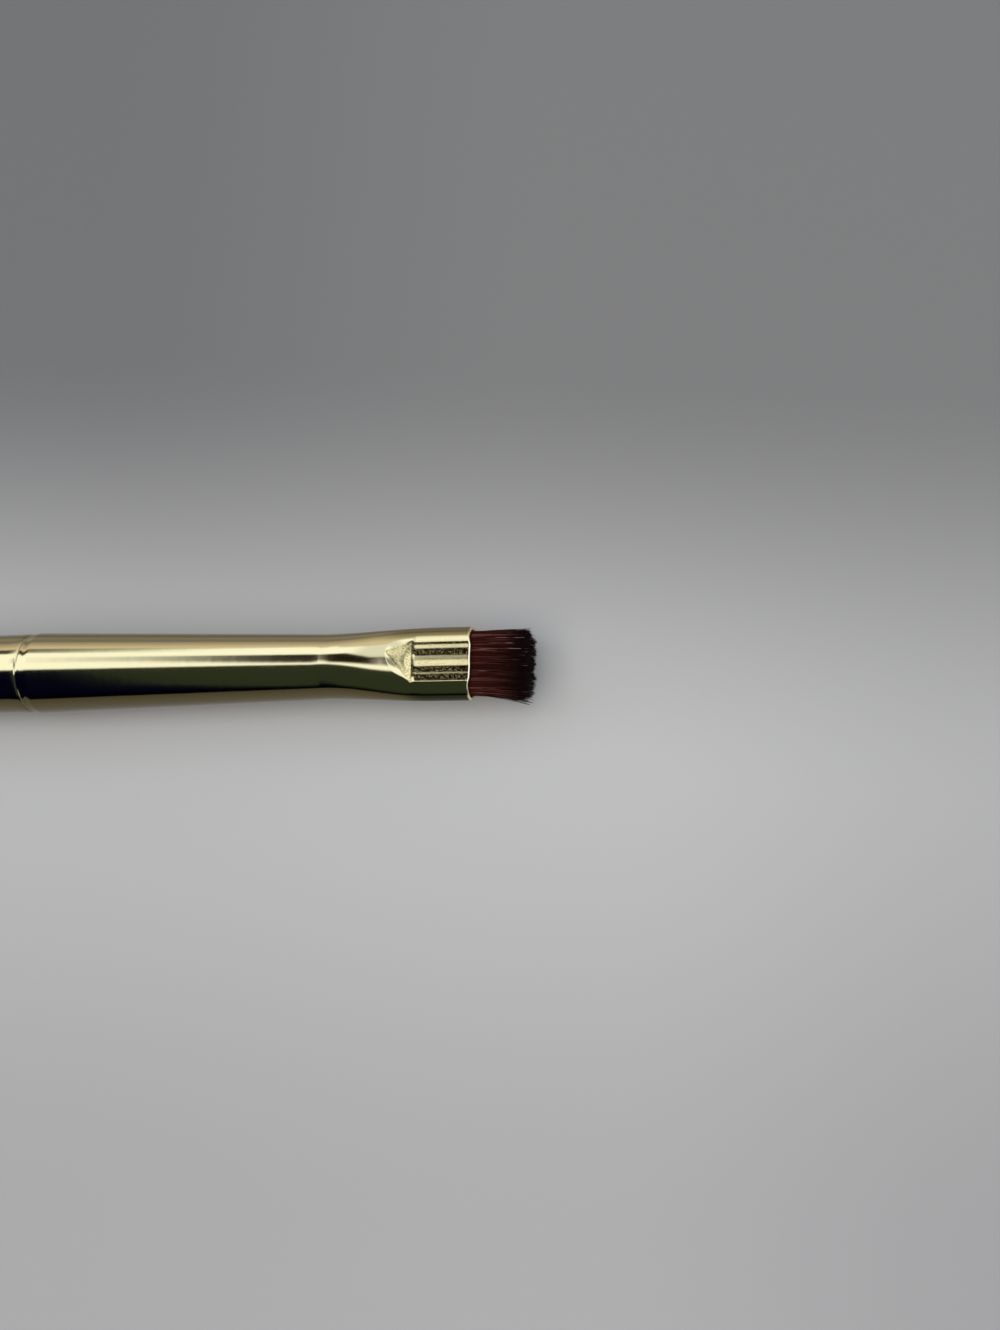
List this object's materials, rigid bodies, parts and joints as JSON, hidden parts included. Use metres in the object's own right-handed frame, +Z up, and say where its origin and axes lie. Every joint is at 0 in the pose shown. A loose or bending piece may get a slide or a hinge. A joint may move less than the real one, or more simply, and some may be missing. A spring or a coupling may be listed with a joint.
{
  "type": "eyeshadow brush",
  "caption": "Slim cosmetic brush: lacquered round handle, gold crimped ferrule pressed flat and ribbed at its nose, short square-cut red-brown hair.",
  "frame": {"origin": "on the table under the middle of the brush, which lies on its handle's barrel and its ferrule's swell", "axes": "+X along the brush from the butt to the hair, +Y across the broad side of the nose, +Z up, square to the pressed flats"},
  "size_m": [0.1598, 0.0078, 0.0078],
  "materials": {
    "lacquered_wood": "turned hardwood under high gloss black lacquer",
    "gold_metal": "bright champagne gold, finely frosted where it is pressed",
    "hair": "straight red-brown hair, near black at its cut tips",
    "bound_hair": "hair soaked in set glue",
    "thread": "plain twisted thread",
    "glue": "clear amber set glue"
  },
  "bodies": {
    "root": {"handle": "lacquered_wood", "tenon_glue": "glue", "ferrule": "gold_metal", "hair_tuft": "hair", "hair_root": "bound_hair", "binding_thread": "thread", "root_glue": "glue"}
  },
  "joints": []
}
